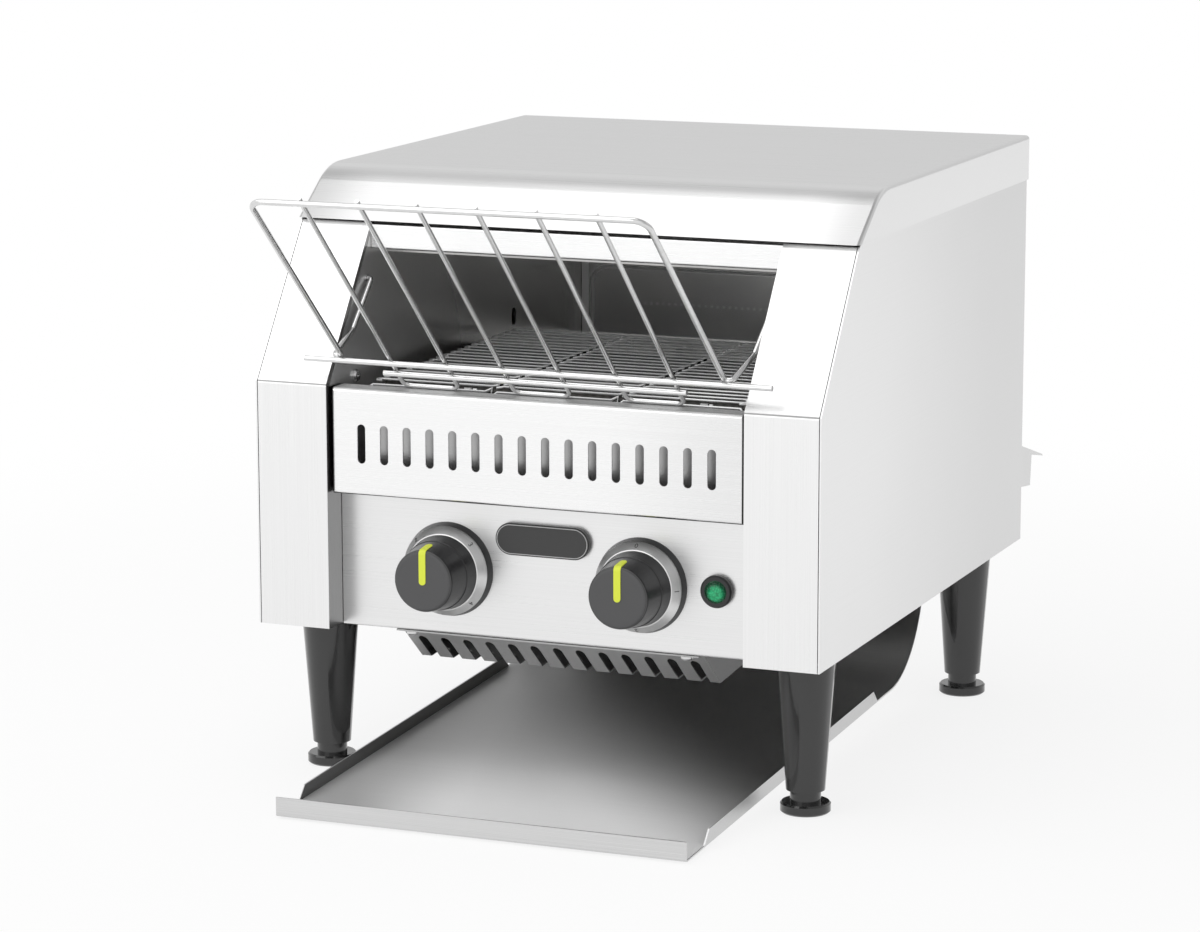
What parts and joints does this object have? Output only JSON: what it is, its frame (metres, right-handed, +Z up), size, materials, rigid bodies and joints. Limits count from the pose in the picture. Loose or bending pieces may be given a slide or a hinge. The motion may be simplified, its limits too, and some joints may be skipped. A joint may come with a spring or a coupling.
{
  "type": "conveyor toaster",
  "caption": "Counter-top conveyor toaster: stainless casing with a sloping wire feed rack, wire belt chamber, control panel, tapered black legs and a sliding collection tray.",
  "frame": {"origin": "on the plane of the foot pads, under the middle of the whole length and width", "axes": "+X to the right seen from the front, +Y to the rear, +Z up"},
  "size_m": [0.37, 0.6008, 0.3832],
  "materials": {
    "casing_steel": "brushed stainless sheet",
    "inner_steel": "heat-toned stainless sheet",
    "tray_steel": "satin stainless sheet",
    "galvanised": "zinc-coated sheet",
    "belt_wire": "drawn stainless wire",
    "rack_wire": "bright polished wire",
    "shaft_steel": "turned steel",
    "bush_bronze": "sintered bronze",
    "leg_plastic": "glossy black moulding",
    "knob_plastic": "fine matt moulding",
    "pointer_green": "yellow-green inlay",
    "dial_face": "brushed ring on a black plate",
    "black_plastic": "moulded",
    "lens_green": "faceted translucent lens",
    "badge_grey": "bare plate",
    "quartz": "milky quartz tube",
    "ceramic": "unglazed ceramic",
    "motor_paint": "painted",
    "circuit_board": "lacquered board",
    "fastener": "plated"
  },
  "bodies": {
    "root": {"side_cover_right": "casing_steel", "side_cover_left": "casing_steel", "front_post_right": "casing_steel", "front_post_left": "casing_steel", "lid": "casing_steel", "header_strip": "casing_steel", "front_vent_panel": "casing_steel", "control_panel": "casing_steel", "bottom_vent_cover": "casing_steel", "control_bay": "galvanised", "rear_panel": "casing_steel", "base_pans": "galvanised", "rear_spacers": "casing_steel", "chamber_wall_right": "inner_steel", "chamber_wall_left": "inner_steel", "chamber_rear_wall": "inner_steel", "tray_ledge": "galvanised", "upper_reflector": "inner_steel", "lower_reflector": "inner_steel", "upper_heater_tubes": "quartz", "lower_heater_tubes": "quartz", "heater_end_caps": "ceramic", "conveyor_belt": "belt_wire", "shaft_bushes": "bush_bronze", "drive_chain": "shaft_steel", "gearmotor": "motor_paint", "motor_bracket": "galvanised", "dial_plates": "dial_face", "speed_control": "black_plastic", "selector_switch": "black_plastic", "badge_plate": "badge_grey", "lamp_bezel": "black_plastic", "lamp_lens": "lens_green", "fan_frame": "black_plastic", "speed_board": "circuit_board", "terminal_block": "black_plastic", "cable_gland": "black_plastic", "legs": "leg_plastic", "screws": "fastener"},
    "speed_dial": {"speed_knob": "knob_plastic", "speed_pointer": "pointer_green", "speed_spindle": "shaft_steel"},
    "selector_dial": {"selector_knob": "knob_plastic", "selector_pointer": "pointer_green", "selector_spindle": "shaft_steel"},
    "feed_rack": {"rack_frame": "rack_wire", "rack_bars": "rack_wire", "rack_wires": "rack_wire"},
    "tray": {"collection_tray": "tray_steel"},
    "belt_drive": {"drive_shaft": "shaft_steel", "drive_sprockets": "shaft_steel", "chain_wheel": "shaft_steel"},
    "belt_idler": {"idler_shaft": "shaft_steel", "idler_sprockets": "shaft_steel"},
    "motor_output": {"motor_sprocket": "shaft_steel"},
    "fan": {"fan_rotor": "black_plastic"},
    "foot_front_left": {"foot_front_left": "leg_plastic"},
    "foot_front_right": {"foot_front_right": "leg_plastic"},
    "foot_rear_left": {"foot_rear_left": "leg_plastic"},
    "foot_rear_right": {"foot_rear_right": "leg_plastic"}
  },
  "joints": [
    {"name": "speed_turn", "type": "hinge", "parent": "root", "child": "speed_dial", "pos_m": [-0.06351, -0.15455, 0.1383], "axis": [0, 1, 0], "range_deg": [-135, 135]},
    {"name": "selector_turn", "type": "hinge", "parent": "root", "child": "selector_dial", "pos_m": [0.06351, -0.15455, 0.1383], "axis": [0, 1, 0], "range_deg": [0, 270]},
    {"name": "rack_tilt", "type": "hinge", "parent": "root", "child": "feed_rack", "pos_m": [0, -0.11305, 0.3093], "axis": [-1, 0, 0], "range_deg": [0, 60]},
    {"name": "tray_slide", "type": "slide", "parent": "root", "child": "tray", "axis": [0, -1, 0], "range_m": [0, 0.2]},
    {"name": "belt_drive_spin", "type": "hinge", "parent": "root", "child": "belt_drive", "pos_m": [0, 0.08195, 0.2315], "axis": [-1, 0, 0], "continuous": true},
    {"name": "belt_idler_spin", "type": "hinge", "parent": "root", "child": "belt_idler", "pos_m": [0, -0.13105, 0.2315], "axis": [-1, 0, 0], "continuous": true},
    {"name": "motor_spin", "type": "hinge", "parent": "root", "child": "motor_output", "pos_m": [0.1458, 0.12545, 0.165], "axis": [-1, 0, 0], "continuous": true},
    {"name": "fan_spin", "type": "hinge", "parent": "root", "child": "fan", "pos_m": [0, -0.09055, 0.0988], "axis": [0, 0, 1], "continuous": true},
    {"name": "foot_front_left_screw", "type": "slide", "parent": "root", "child": "foot_front_left", "axis": [0, 0, -1], "range_m": [0, 0.02]},
    {"name": "foot_front_right_screw", "type": "slide", "parent": "root", "child": "foot_front_right", "axis": [0, 0, -1], "range_m": [0, 0.02]},
    {"name": "foot_rear_left_screw", "type": "slide", "parent": "root", "child": "foot_rear_left", "axis": [0, 0, -1], "range_m": [0, 0.02]},
    {"name": "foot_rear_right_screw", "type": "slide", "parent": "root", "child": "foot_rear_right", "axis": [0, 0, -1], "range_m": [0, 0.02]}
  ],
  "couplings": [
    {"joint": "belt_idler_spin", "follows": "belt_drive_spin", "ratio": 1},
    {"joint": "motor_spin", "follows": "belt_drive_spin", "ratio": 2}
  ]
}
